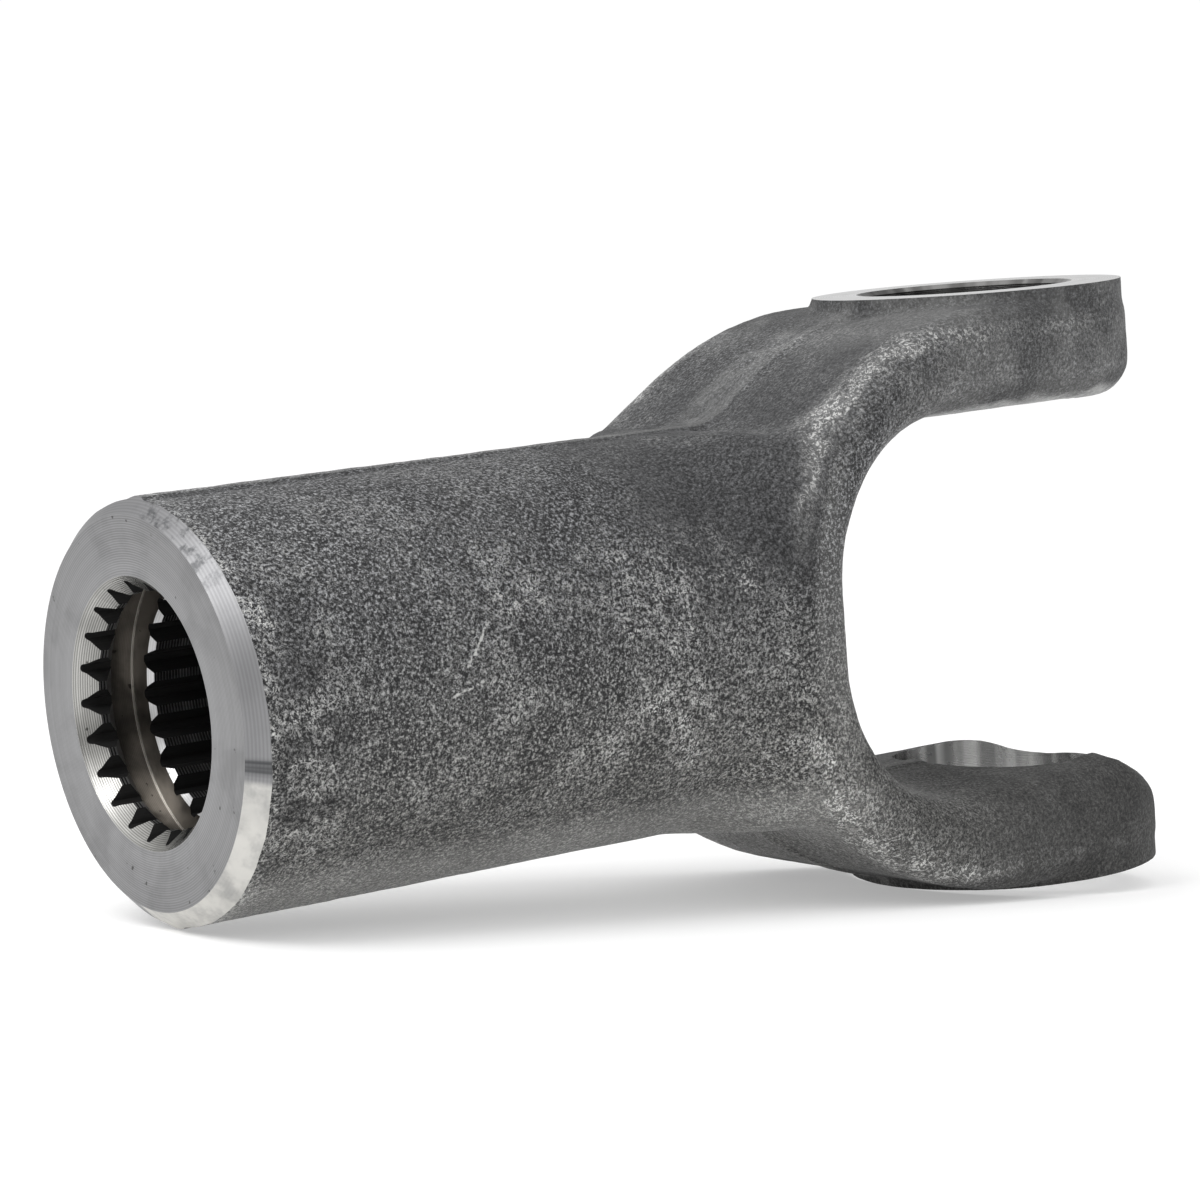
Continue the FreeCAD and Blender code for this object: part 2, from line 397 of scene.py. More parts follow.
class Finish(Nodes):
    """A material with a Principled BSDF."""

    def __init__(self, name: str) -> None:
        """Start the material.

        Args:
            name: Name of the material.
        """
        self.material = bpy.data.materials.new(name)
        self.material.use_nodes = True
        super().__init__(self.material.node_tree)
        self.tree.nodes.clear()
        self.surface = self.add("ShaderNodeBsdfPrincipled")
        self.fill(self.add("ShaderNodeOutputMaterial"), Surface=self.surface.outputs["BSDF"])

    def place(self) -> Socket:
        """Place on the piece in metres."""
        return self.add("ShaderNodeTexCoord").outputs["Object"]

    def use(self, group: bpy.types.NodeTree, **values: object) -> dict[str, Socket]:
        """Place a shader group and give it its values.

        Args:
            group: The group.
            **values: Value or socket of each input, with underscores for spaces.

        Returns:
            The group's results by name.
        """
        return dict(self.fill(self.add("ShaderNodeGroup", node_tree=group), **values).outputs.items())

    def dress(self, **values: object) -> bpy.types.Material:
        """Give the shader its values and return the material.

        Args:
            **values: Value or socket of each input, with underscores for spaces.

        Returns:
            The finished material.
        """
        self.fill(self.surface, **values)
        return self.material


@dataclass(frozen=True)
class ForgingScale:
    """Grainy oxide scale with dark pits and a light sparkling network of bare metal."""

    coarse: Grain = Grain(2250.0, 2.0)
    fine: Grain = Grain(4700.0, 1.0, 0.5)
    coarse_share: float = 0.65
    pit_level: float = 0.34
    pit_gain: float = 2.9
    pit_power: float = 2.6
    network: Grain = Grain(900.0, 3.0, 0.7, 0.7)
    network_width: float = 0.07
    crumbs: Grain = Grain(2100.0, 2.0)
    lumps: Grain = Grain(420.0, 2.0, 0.5)

    def build(self) -> bpy.types.NodeTree:
        """Make the group.

        Returns:
            Group with a colour, the share of bare metal, a roughness and a height.
        """
        group = Group(
            "forging_scale",
            {"Position": None, "Dark": grey(0.03), "Light": grey(0.12), "Bare": grey(0.4),
             "Wear": 0.0, "Contrast": 1.0},
            ("Colour", "Bare Share", "Roughness", "Height"),
        )
        place, dark, light, bare, wear_and_highlight, contrast = group.given.values()
        coarse = group.product(group.grain(place, self.coarse), self.coarse_share)
        fine = group.product(group.grain(place, self.fine), 1.0 - self.coarse_share)
        tone = group.total(group.product(group.less(group.total(coarse, fine), 0.5), contrast), 0.5)
        raised = group.math("MULTIPLY", group.less(tone, self.pit_level), self.pit_gain, clamp=True)
        base = group.mix(group.math("POWER", raised, self.pit_power), dark, light)
        ridge = group.size(group.less(group.grain(place, self.network), 0.5))
        crumbs = group.ramp(group.grain(place, self.crumbs), 0.42, 0.56)
        network = group.product(group.ramp(ridge, self.network_width, 0.0), crumbs)
        # The wear share also carries the painted crest highlight, drawn as bare metal.
        share = group.math("MULTIPLY", network, wear_and_highlight, clamp=True)
        lumps = group.product(group.grain(place, self.lumps), 0.5)
        return group.give(
            Colour=group.mix(share, base, bare),
            Bare_Share=share,
            Roughness=group.ramp(tone, 0.38, 0.62, 0.62, 0.40),
            Height=group.total(lumps, group.product(tone, 0.5)),
        )


@dataclass(frozen=True)
class WearMap:
    """Where the forging is rubbed lighter, stained and sooty, and where highlights, floor light, shade and
    shadow are painted onto it.

    A zone is a row of fades. Each names the measure that it runs along and gives, in millimetres,
    where the zone starts and where it is full. Levels other than 0 and 1 follow where it has them.
    """

    # The crest zones paint a highlight along the rounded crest round the gap.
    highlight_crest: Fades = (("outside", 10.8, 12.4), ("outside", 15.4, 13.0))
    highlight_tail: Fades = (("outside", 5.5, 11.5), ("outside", 14.6, 12.8))
    flank: Fades = (("side", 18.5, 22.5), ("rise", 4.0, 12.0), ("x", -12.0, -38.0, 0.25, 1.0))
    throat: Fades = (("outside", 11.0, 9.0), ("x", -44.0, -50.0), ("side", 20.0, 24.0))
    hub_middle: Fades = (("x", -122.0, -100.0), ("x", -40.0, -60.0), ("z", -24.0, -6.0), ("z", 22.0, 10.0))
    # Painted light from the white floor on the hub's underside.
    hub_floor_bounce: Fades = (("z", -18.0, -23.5), ("x", -36.0, -56.0))
    beside_rim: Fades = (("inward", 2.4, 4.8), ("inward", 17.5, 10.5), ("z", 21.0, 13.0), ("z", -22.0, -15.0))
    rim_fringe: Fades = (("inward", 5.2, 2.6),)
    off_ears: Fades = (("x", -40.0, -18.0, 1.0, 0.5),)
    arm: Fades = (("height", 24.5, 27.5), ("x", -64.0, -56.0), ("x", -20.0, -34.0))
    upper: Fades = (("z", -10.0, 10.0),)
    parting_band: Fades = (("y", -3.0, 2.0), ("y", 10.0, 5.5))
    beyond_band: Fades = (("y", 3.0, 10.0, 0.42, 0.65),)
    shoulder: Fades = (("y", 0.0, -5.0), ("side", 27.0, 21.0))
    arm_foot: Fades = (("x", -140.0, -68.0), ("x", -30.0, -50.0), ("z", 0.0, 14.0), ("outside", 8.5, 11.5))
    foot_smooth: Fades = (("x", -86.0, -70.0),)
    neck: Fades = (("x", -84.0, -70.0), ("outside", 14.5, 17.0), ("z", -12.0, -2.0))
    # The upper ear's inner edge: a painted highlight line and a darker line above it.
    ear_edge: Fades = (("x", -31.0, -24.0), ("z", 18.0, 22.0), ("y", -12.0, -16.0))
    edge_highlight: Fades = (("outside", 2.6, 1.4),)
    edge_dark_line: Fades = (("outside", 2.2, 3.0), ("outside", 5.6, 3.6))
    ear_cloud: Fades = (("x", -45.0, -20.0), ("z", 0.0, 20.0, 0.25, 1.0))
    # Painted shade on the lower ear.
    lower_ear_shade: Fades = (("x", -36.0, -14.0), ("z", -12.0, -22.0))
    # Soot and painted shade under the upper ear's pad.
    pad_side: Fades = (("height", 37.5, 39.2), ("x", 8.0, -4.0))
    # Reach of the painted shadow along the flash's foot: the hub only.
    flash_shadow: Fades = (("x", -48.0, -60.0),)
    contrast: Fades = (
        ("x", -62.0, -10.0, 1.45, 0.75), ("height", 22.0, 30.0, 1.0, 0.85), ("z", -8.0, -20.0, 1.0, 0.8),
    )
    scratches: tuple[tuple[tuple[float, float], ...], ...] = (
        ((-105.5, 8.7), (-110.2, 2.9)),
        ((-107.6, 1.4), (-113.0, -0.2)),
    )
    scratch_width: float = 0.24
    scratch_side: Fades = (("y", -10.0, -15.0),)
    scratch_wobble: Grain = Grain(600.0, 3.0)
    scratch_crumbs: Grain = Grain(1700.0, 2.0)
    wander: Grain = Grain(120.0)
    wander_reach: float = 5.0
    broken: Grain = Grain(300.0, 4.0, 0.65)
    patches: Grain = Grain(62.0, 4.0, 0.6, 0.5)
    spots: Grain = Grain(260.0, 4.0, 0.65, 0.4)
    blotches: Grain = Grain(190.0, 4.0, 0.55, 0.2)
    blotch_stretch: Point = (0.6, 1.0, 1.0)
    clouds: Grain = Grain(40.0, 3.0, 0.55)

    def measures(self, group: Group, wander: Socket) -> dict[str, Socket]:
        """Measures of a place on the skin in metres.

        Args:
            group: The group, with its place and the sizes of the gap and the hub.
            wander: What makes the distance from the gap uneven.

        Returns:
            Each measure's socket by name. The distance outside the gap's outline takes the outline
            as a rectangle with round corners at its root.
        """
        given = group.given
        x, y, z = group.axes(given["Position"])
        height = group.size(z)
        run = group.math("MINIMUM", group.less(x, group.total(given["Gap Root"], given["Gap Corner"])), 0.0)
        rise = group.most(group.less(height, given["Gap Flat"]), 0.0)
        outside = group.total(group.less(group.reach(run, rise), given["Gap Corner"]), wander)
        inward = group.less(x, given["Hub End"])
        return {"x": x, "y": y, "z": z, "side": group.size(y), "height": height,
                "rise": rise, "outside": outside, "inward": inward}

    @staticmethod
    def zone(group: Group, measures: dict[str, Socket], fades: Fades) -> Socket:
        """Share of a zone.

        Args:
            group: The group.
            measures: Measures of the place.
            fades: The zone's fades.

        Returns:
            The share's socket.
        """
        return group.product(*(
            group.ramp(measures[name], start * MM, full * MM, *levels) for name, start, full, *levels in fades
        ))

    def scratch(self, group: Group, measures: dict[str, Socket], start: tuple, end: tuple) -> Socket:
        """Share of a short broken scratch on the hub's near flank.

        Args:
            group: The group.
            measures: Measures of the place.
            start: X and Z of one end in millimetres.
            end: X and Z of the other end.

        Returns:
            The share's socket.
        """
        place = group.given["Position"]
        length = math.dist(start, end)
        ux, uz = (end[0] - start[0]) / length, (end[1] - start[1]) / length
        from_x = group.less(measures["x"], start[0] * MM)
        from_z = group.less(measures["z"], start[1] * MM)
        along = group.total(group.product(from_x, ux), group.product(from_z, uz))
        across = group.less(group.product(from_x, uz), group.product(from_z, ux))
        wobble = group.product(group.less(group.grain(place, self.scratch_wobble), 0.5), 1.2 * MM)
        places = {"along": along, "across": group.size(group.total(across, wobble)), "y": measures["y"]}
        ends = (("along", -0.2, 0.4), ("along", length + 0.2, length - 0.6))
        body = (("across", self.scratch_width, self.scratch_width / 4), *ends, *self.scratch_side)
        crumbs = group.ramp(group.grain(place, self.scratch_crumbs), 0.42, 0.54)
        return group.product(self.zone(group, places, body), crumbs)

    def build(self) -> bpy.types.NodeTree:
        """Make the group.

        Returns:
            Group with shares for wear with a painted crest highlight, lightening with painted highlights and
            floor light, soot with painted shade and shadow, and scratches with a painted edge highlight, and
            the grain's contrast.
        """
        group = Group(
            "wear_map",
            {"Position": None, "Gap Root": 0.0, "Gap Flat": 0.0, "Gap Corner": 0.0, "Hub End": 0.0,
             "Flash Middle": 0.0, "Flash Half": 0.0013},
            ("Wear", "Light", "Dark", "Contrast", "Scratch"),
        )
        place, flash_half = group.given["Position"], group.given["Flash Half"]
        wander = group.product(group.less(group.grain(place, self.wander), 0.5), self.wander_reach * MM)
        measures = self.measures(group, wander)
        zone = partial(self.zone, group, measures)
        broken = group.ramp(group.grain(place, self.broken), 0.34, 0.60, 0.25, 1.0)
        patches = group.ramp(group.grain(place, self.patches), 0.38, 0.62)
        spots = group.ramp(group.grain(place, self.spots), 0.40, 0.62, 0.35, 1.0)
        clouds = group.ramp(group.grain(place, self.clouds), 0.62, 0.38)
        # A painted highlight along the crest round the gap, drawn as bare metal, and patches on the hub
        ridge = group.most(zone(self.highlight_crest), group.product(zone(self.highlight_tail), 0.3))
        ridge = group.product(ridge, zone(self.flank), broken)
        hub_rub = group.total(group.product(zone(self.hub_middle), 0.75), 0.40)
        # Blotches beside the turned end, and the rubbed fringe next to its rim
        stretched = group.add("ShaderNodeVectorMath", operation="MULTIPLY")
        group.put(stretched.inputs[0], place)
        stretched.inputs[1].default_value = self.blotch_stretch
        blotches = group.ramp(group.grain(stretched.outputs["Vector"], self.blotches), 0.40, 0.56)
        beside_rim = zone(self.beside_rim)
        between = group.product(beside_rim, group.less(1.0, blotches))
        fringe = group.product(zone(self.rim_fringe), spots)
        wear_and_highlight = group.total(
            group.product(hub_rub, patches, spots), group.product(between, 0.5), group.product(fringe, 0.45),
        )
        wear_and_highlight = group.product(wear_and_highlight, zone(self.off_ears))
        wear_and_highlight = group.math("ADD", wear_and_highlight, group.product(ridge, 0.95), clamp=True)
        # The trimmed flash: its crest is painted lighter, and a painted shadow runs along its foot
        beside = group.size(group.less(measures["y"], group.given["Flash Middle"]))
        beside = group.total(beside, group.product(wander, 0.08))
        crest = group.ramp(beside, flash_half, group.product(flash_half, 0.7))
        flash_foot_shadow = group.size(group.less(beside, group.product(flash_half, 1.5)))
        flash_foot_shadow = group.product(group.ramp(flash_foot_shadow, 1.4 * MM, 0.6 * MM), zone(self.flash_shadow))
        # On the arms a soft band is rubbed beyond the parting line, and the near side stays dark
        arm, upper = zone(self.arm), zone(self.upper)
        band = group.product(zone(self.parting_band), arm, spots)
        shoulder = group.product(arm, zone(self.shoulder), upper)
        beyond = group.product(arm, upper, zone(self.beyond_band))
        foot = zone(self.arm_foot)
        # The upper ear's inner edge gets a painted highlight line, with a darker line above it
        ear_edge = zone(self.ear_edge)
        edge_highlight = group.product(ear_edge, zone(self.edge_highlight))
        edge_dark_line = group.product(ear_edge, zone(self.edge_dark_line))
        ear_cloud = group.product(group.ramp(patches, 0.0, 1.0, 0.35, 1.0), zone(self.ear_cloud))
        scratches = [self.scratch(group, measures, *ends) for ends in self.scratches]
        # Lightening: rubs, plus painted highlights and painted floor light.
        light = group.most(*(group.product(share, weight) for share, weight in (
            (ridge, 0.75), (crest, 0.5), (zone(self.throat), 0.5), (band, 0.65),
            (zone(self.hub_floor_bounce), 1.0), (edge_highlight, 0.9), (ear_cloud, 0.55),
        )))
        # Darkening: soot and stains, plus painted shade and shadow.
        soot_and_shade = group.most(group.product(beside_rim, blotches, 0.85), group.product(foot, 0.65))
        soot_and_shade = group.total(soot_and_shade, group.product(zone(self.neck), 0.22))
        soot_and_shade = group.most(soot_and_shade, *(group.product(share, weight) for share, weight in (
            (shoulder, 0.8), (beyond, 1.0), (zone(self.lower_ear_shade), 0.85), (edge_dark_line, 0.7),
            (zone(self.pad_side), 1.0), (flash_foot_shadow, 1.0),
        )))
        smooth = group.most(group.product(foot, zone(self.foot_smooth)), shoulder)
        return group.give(
            Wear=wear_and_highlight,
            Light=light,
            Dark=group.math("ADD", soot_and_shade, group.product(clouds, 0.2), clamp=True),
            Contrast=group.product(zone(self.contrast), group.ramp(smooth, 0.0, 1.0, 1.0, 0.5)),
            Scratch=group.most(*scratches, group.product(edge_highlight, spots, 0.5)),
        )


class Effects:
    """Shader groups that the finishes share, each built once."""

    def __init__(self) -> None:
        """Build every group."""
        self.scale = ForgingScale().build()
        self.wear_and_highlight = WearMap().build()
        self.turning = self._turning_marks()
        self.smudge = self._smudges()
        self.angles = self._angle_marks()

    @staticmethod
    def _turning_marks() -> bpy.types.NodeTree:
        """Fine rings that a lathe tool leaves, from the distance along the cut.

        Returns:
            Group with a ring value and a broad band value.
        """
        group = Group("turning_marks", {"Distance": 0.0, "Feed": 0.00025}, ("Rings", "Bands"))
        turns = group.math("DIVIDE", group.given["Distance"], group.given["Feed"])
        wave = group.total(group.product(group.math("SINE", group.product(turns, math.tau)), 0.5), 0.5)
        uneven = group.line_grain(group.product(turns, 0.35), 5.0, 0.7)
        rings = group.total(group.product(wave, 0.4), group.product(uneven, 0.6))
        return group.give(Rings=rings, Bands=group.line_grain(group.product(turns, 0.06), 3.0))

    @staticmethod
    def _smudges() -> bpy.types.NodeTree:
        """Soft oily smudges and a few dark specks.

        Returns:
            Group with a smudge share and a speck share.
        """
        group = Group("smudges", {"Position": None}, ("Smudge", "Specks"))
        place = group.given["Position"]
        soft = group.grain(place, Grain(110.0, distortion=0.4))
        specks = group.grain(place, Grain(620.0, 2.0, 0.5))
        return group.give(Smudge=group.ramp(soft, 0.4, 0.7), Specks=group.ramp(specks, 0.71, 0.76))

    @staticmethod
    def _angle_marks() -> bpy.types.NodeTree:
        """Marks that vary round an axis: a soft stripe value and a window of angles.

        Returns:
            Group with a stripe value and the share inside the window.
        """
        group = Group(
            "angle_marks",
            {"Across": 0.0, "Up": 0.0, "Stripes": 3.0,
             "Window Start": 0.0, "Window End": 0.0, "Window Blend": 0.03},
            ("Stripe", "Window"),
        )
        across, up, stripes, start, end, blend = group.given.values()
        angle = group.math("ARCTAN2", up, across)
        stripe = group.line_grain(group.product(angle, stripes), 1.0)
        opens = group.ramp(angle, group.less(start, blend), group.total(start, blend))
        closes = group.ramp(angle, group.total(end, blend), group.less(end, blend))
        return group.give(Stripe=group.ramp(stripe, 0.36, 0.64), Window=group.product(opens, closes))


@dataclass(frozen=True)
class ForgedSkin:
    """Dark grey forging scale, rubbed lighter in places and sooty in its hollows, with painted highlights on
    its ridges and edges, painted floor light under the hub, and painted shade under the pad, on the lower ear
    and along the flash.
    """

    sizes: YokeSizes = YokeSizes()
    dark: Colour = (0.013, 0.013, 0.014)
    light_low: Colour = (0.40, 0.395, 0.37)
    light_high: Colour = (0.39, 0.395, 0.405)
    bare: Colour = (0.80, 0.80, 0.78)
    soot_and_shade: Colour = (0.33, 0.33, 0.34)
    rub_and_painted_light: Colour = (0.27, 0.27, 0.262)
    metal: float = 0.4
    bump_height: float = 0.0003

    def build(self, effects: Effects) -> bpy.types.Material:
        """Make the material.

        Args:
            effects: The shared shader groups.

        Returns:
            The material.
        """
        s = self.sizes
        skin = Finish("forged_skin")
        place = skin.place()
        worn = skin.use(
            effects.wear_and_highlight, Position=place, Gap_Root=s.bore_exit_x * MM, Gap_Flat=s.gap_flat * MM,
            Gap_Corner=s.gap_corner * MM, Hub_End=s.hub_face_x * MM,
            Flash_Middle=s.forging_shift_y * MM, Flash_Half=s.flash_width / 2 * MM,
        )
        light = skin.mix(skin.ramp(skin.axes(place)[2], -0.022, 0.018), self.light_low, self.light_high)
        scale = skin.use(effects.scale, Position=place, Dark=self.dark, Light=light, Bare=self.bare,
                         Wear=worn["Wear"], Contrast=worn["Contrast"])
        # Soot and painted shade darken the scale.
        colour = skin.mix(skin.product(worn["Dark"], 0.8), scale["Colour"], self.soot_and_shade, "MULTIPLY")
        # Rubs, painted highlights and painted floor light lighten it.
        colour = skin.mix(skin.product(worn["Light"], 0.4), colour, self.rub_and_painted_light, "ADD")
        # Scratches and the painted edge highlight are laid on as bare metal.
        colour = skin.mix(skin.product(worn["Scratch"], 0.6), colour, self.bare)
        matt = skin.product(worn["Dark"], 0.3)
        metal = skin.ramp(scale["Bare Share"], 0.0, 1.0, self.metal, 0.75)
        return skin.dress(
            Base_Color=colour,
            Roughness=skin.math("ADD", scale["Roughness"], matt, clamp=True),
            Metallic=skin.product(metal, skin.ramp(worn["Dark"], 0.0, 1.0, 1.0, 0.1)),
            Normal=skin.bump(scale["Height"], self.bump_height),
        )


@dataclass(frozen=True)
class Machined:
    """Bright steel as the tool leaves it, with feed marks about an axis."""

    name: str
    axis: Axis = Axis.HUB
    along_axis: bool = False
    colour: Colour = grey(0.56)
    dark: Colour = grey(0.3)
    oil_and_shade: Colour = (0.03, 0.028, 0.026)
    roughness: float = 0.34
    feed: float = 0.00025
    ring_height: float = 0.000012
    metal: float = 1.0
    grime: float = 0.2
    contrast: float = 0.5
    # Count of painted reflection stripes round the axis.
    stripes: float = 0.0
    # Height above which painted shade darkens a bore.
    shade_above: Optional[float] = None
    # Where a painted highlight line runs, measured along the cut.
    highlight_line: Optional[float] = None
    highlight_colour: Colour = (0.85, 0.84, 0.80)

    def build(self, effects: Effects) -> bpy.types.Material:
        """Make the material.

        Args:
            effects: The shared shader groups.

        Returns:
            The material.
        """
        steel = Finish(self.name)
        place = steel.place()
        x, y, z = steel.axes(place)
        if self.along_axis:
            distance = x if self.axis is Axis.HUB else z
        else:
            distance = steel.reach(y, z) if self.axis is Axis.HUB else steel.reach(x, y)
        marks = steel.use(effects.turning, Distance=distance, Feed=self.feed)
        smudges = steel.use(effects.smudge, Position=place)
        bands = steel.product(steel.ramp(marks["Bands"], 0.3, 0.7), 0.35)
        rings = steel.product(steel.ramp(marks["Rings"], 0.25, 0.75), 0.65)
        colour = steel.mix(steel.product(steel.total(bands, rings), self.contrast), self.colour, self.dark)
        # Painted reflection stripes round the axis.
        if self.stripes > 0:
            reflection_stripes = steel.use(effects.angles, Across=x, Up=y, Stripes=self.stripes)
            colour = steel.mix(reflection_stripes["Stripe"], colour, self.dark)
        dirt_and_shade = steel.most(steel.product(smudges["Smudge"], self.grime), steel.product(smudges["Specks"], 0.8))
        # Painted shade darkens the bore above a height.
        if self.shade_above is not None:
            painted_shade = steel.ramp(z, self.shade_above, self.shade_above + 0.01)
            dirt_and_shade = steel.most(dirt_and_shade, steel.product(painted_shade, 0.8))
        colour = steel.mix(dirt_and_shade, colour, self.oil_and_shade)
        # A painted highlight line, such as at the ring groove's corner.
        if self.highlight_line is not None:
            from_highlight = steel.size(steel.less(distance, self.highlight_line))
            colour = steel.mix(steel.ramp(from_highlight, 0.00008, 0.00005), colour, self.highlight_colour)
        return steel.dress(
            Base_Color=colour,
            Metallic=self.metal,
            Roughness=steel.ramp(smudges["Smudge"], 0.0, 1.0, self.roughness, self.roughness + 0.12),
            Normal=steel.bump(marks["Rings"], self.ring_height),
        )


class Window(NamedTuple):
    """Angles in degrees about the hub's axis, from the near side up, and a blend in radians."""

    start: float
    end: float
    blend: float = 0.02


@dataclass(frozen=True)
class TurnedRim:
    """The hub's chamfered rim: turned, with a painted reflection of the white floor low on its near side,
    mottled like a rub, and one dark band.
    """

    turned: Colour = (0.265, 0.265, 0.27)
    ring_dark: Colour = (0.16, 0.16, 0.165)
    rub_and_painted_light: Colour = (0.66, 0.65, 0.62)
    band: Colour = (0.055, 0.057, 0.06)
    # Angles where a painted reflection of the white floor lies on the rim.
    floor_reflection_window: Window = Window(-100.0, -15.0)
    band_window: Window = Window(-12.5, -8.5)
    scale_window: Window = Window(42.0, 82.0, 0.12)
    clouds: Grain = Grain(260.0)
    spots: Grain = Grain(520.0, 4.0, 0.65)
    stripes: float = 30.0
    feed: float = 0.00034
    ring_height: float = 0.000006

    def build(self, effects: Effects) -> bpy.types.Material:
        """Make the material.

        Args:
            effects: The shared shader groups.

        Returns:
            The material.
        """
        rim = Finish("turned_rim")
        place = rim.place()
        _, y, z = rim.axes(place)
        marks = rim.use(effects.turning, Distance=rim.reach(y, z), Feed=self.feed)
        near = rim.product(y, -1.0)
        rub_and_painted_light, band, scale = (
            rim.use(effects.angles, Across=near, Up=z, Stripes=self.stripes, Window_Blend=window.blend,
                    Window_Start=math.radians(window.start), Window_End=math.radians(window.end))
            for window in (self.floor_reflection_window, self.band_window, self.scale_window)
        )
        smudges = rim.use(effects.smudge, Position=place)
        rings = rim.product(rim.ramp(marks["Rings"], 0.3, 0.7), 0.4)
        clouds = rim.ramp(rim.grain(place, self.clouds), 0.40, 0.70, 1.0, 0.55)
        stripe = rim.product(band["Window"], rim.ramp(band["Stripe"], 0.0, 1.0, 0.55, 1.0))
        spots = rim.product(scale["Window"], rim.ramp(rim.grain(place, self.spots), 0.46, 0.66, 0.0, 0.75))
        colour = rim.mix(rings, self.turned, self.ring_dark)
        for share, over in (
            # The painted floor reflection, mottled like a rubbed zone.
            (rim.product(rub_and_painted_light["Window"], clouds), self.rub_and_painted_light),
            (stripe, self.band),
            (spots, self.band),
            (rim.product(smudges["Smudge"], 0.25), self.ring_dark),
        ):
            colour = rim.mix(share, colour, over)
        return rim.dress(
            Base_Color=colour,
            Metallic=1.0,
            Roughness=rim.ramp(rub_and_painted_light["Window"], 0.0, 1.0, 0.46, 0.6),
            Normal=rim.bump(marks["Rings"], self.ring_height),
        )


@dataclass
class Machining:
    """Tools that cut the forging: each is a closed solid whose faces carry the finish they leave."""

    sizes: YokeSizes
    segments: int = 176
    overrun: float = 5.0
    core_step: float = 0.4
    flank_steps: int = 4
    root_steps: int = 3

    def turned(self, name: str, axis: Axis, profile: Profile) -> bpy.types.Object:
        """Turn a profile about the hub's or the ears' axis.

        Args:
            name: Name of the tool.
            axis: Axis to turn about.
            profile: Place along the axis and radius of each point, in millimetres, with the slot
                of the face that follows it. The first and last points lie on the axis.

        Returns:
            The closed tool.
        """
        shape = bmesh.new()
        rings: list[list[bmesh.types.BMVert]] = []
        for along, radius, _ in profile:
            ring = []
            for index in range(1 if radius == 0 else self.segments):
                angle = math.tau * index / self.segments
                across, up = radius * math.cos(angle), radius * math.sin(angle)
                point = (along, across, up) if axis is Axis.HUB else (across, up, along)
                ring.append(shape.verts.new(Vector(point) * MM))
            rings.append(ring)
        for (first, second), (_, _, slot) in zip(zip(rings, rings[1:]), profile):
            for index in range(self.segments):
                after = (index + 1) % self.segments
                corners = [first[index % len(first)], first[after % len(first)]]
                corners += [second[after % len(second)], second[index % len(second)]]
                face = shape.faces.new(dict.fromkeys(corners))
                face.material_index = slot
        bmesh.ops.recalc_face_normals(shape, faces=shape.faces)
        return new_object(name, shape)

    def facing(self) -> bpy.types.Object:
        """Cut of the hub's end face and its chamfered rim.

        Returns:
            The tool.
        """
        s = self.sizes
        wide = s.hub_radius + self.overrun
        turned, rim = Slot.TURNED.value, Slot.RIM.value
        return self.turned("hub_facing", Axis.HUB, [
            (s.hub_face_x - 2 * self.overrun, 0.0, turned),
            (s.hub_face_x - 2 * self.overrun, wide, turned),
            (s.hub_face_x + wide - s.hub_face_radius, wide, rim),
            (s.hub_face_x, s.hub_face_radius, turned),
            (s.hub_face_x, 0.0, turned),
        ])

    def countersink(self) -> bpy.types.Object:
        """Cut of the cone at the bore's mouth.

        Returns:
            The tool.
        """
        s = self.sizes
        slope = math.tan(math.radians(s.countersink_half_angle))
        mark = Slot.COUNTERSINK.value
        return self.turned("countersink", Axis.HUB, [
            (s.hub_face_x - self.overrun, 0.0, mark),
            (s.hub_face_x - self.overrun, s.countersink_radius + self.overrun * slope, mark),
            (s.hub_face_x + s.countersink_radius / slope, 0.0, mark),
        ])

    def bore(self) -> bpy.types.Object:
        """Cut of the plain bore, whose wall the teeth's lands keep.

        Returns:
            The tool.
        """
        s = self.sizes
        land = Slot.LAND.value
        ends = (s.hub_face_x - self.overrun, s.bore_exit_x + 3 * self.overrun)
        return self.turned("bore", Axis.HUB, [
            (ends[0], 0.0, land), (ends[0], s.bore_tip_radius, land),
            (ends[1], s.bore_tip_radius, land), (ends[1], 0.0, land),
        ])

    def ring_groove(self) -> bpy.types.Object:
        """Cut of the ring groove with the chamfers of the tooth ends on both sides.

        Returns:
            The tool.
        """
        s = self.sizes
        start = s.hub_face_x + s.groove_start
        end = start + s.groove_width
        ends, groove = Slot.TOOTH_END.value, Slot.GROOVE.value
        return self.turned("ring_groove", Axis.HUB, [
            (start - s.groove_lead_in, 0.0, ends),
            (start - s.groove_lead_in, s.bore_tip_radius, ends),
            (start, s.bore_tip_radius + s.groove_lead_in, groove),
            (start, s.groove_radius, groove),
            (end, s.groove_radius, groove),
            (end, s.bore_tip_radius + s.groove_lead_out, ends),
            (end + s.groove_lead_out, s.bore_tip_radius, ends),
            (end + s.groove_lead_out, 0.0, ends),
        ])

    def bore_exit(self) -> bpy.types.Object:
        """Cut of the relief where the bore opens into the gap.

        Returns:
            The tool.
        """
        s = self.sizes
        mark = Slot.TOOTH_END.value
        wide = s.bore_root_radius + s.bore_exit_chamfer
        start = s.bore_exit_x - s.bore_exit_chamfer - (s.bore_root_radius - s.bore_tip_radius)
        return self.turned("bore_exit", Axis.HUB, [
            (start, 0.0, mark),
            (start, s.bore_tip_radius, mark),
            (s.bore_exit_x, wide, mark),
            (s.bore_exit_x + s.bore_exit_length, wide, mark),
            (s.bore_exit_x + s.bore_exit_length, 0.0, mark),
        ])

    def space_half_angle(self, radius: float) -> float:
        """Half the angle that a space between the teeth takes up.

        Args:
            radius: Radius in millimetres.

        Returns:
            The angle in radians.
        """
        s = self.sizes
        pressure = math.radians(s.spline_pressure_angle)
        base = s.spline_module * s.teeth / 2 * math.cos(pressure)
        here = math.acos(base / radius)
        return math.pi / (2 * s.teeth) + math.tan(pressure) - pressure - math.tan(here) + here

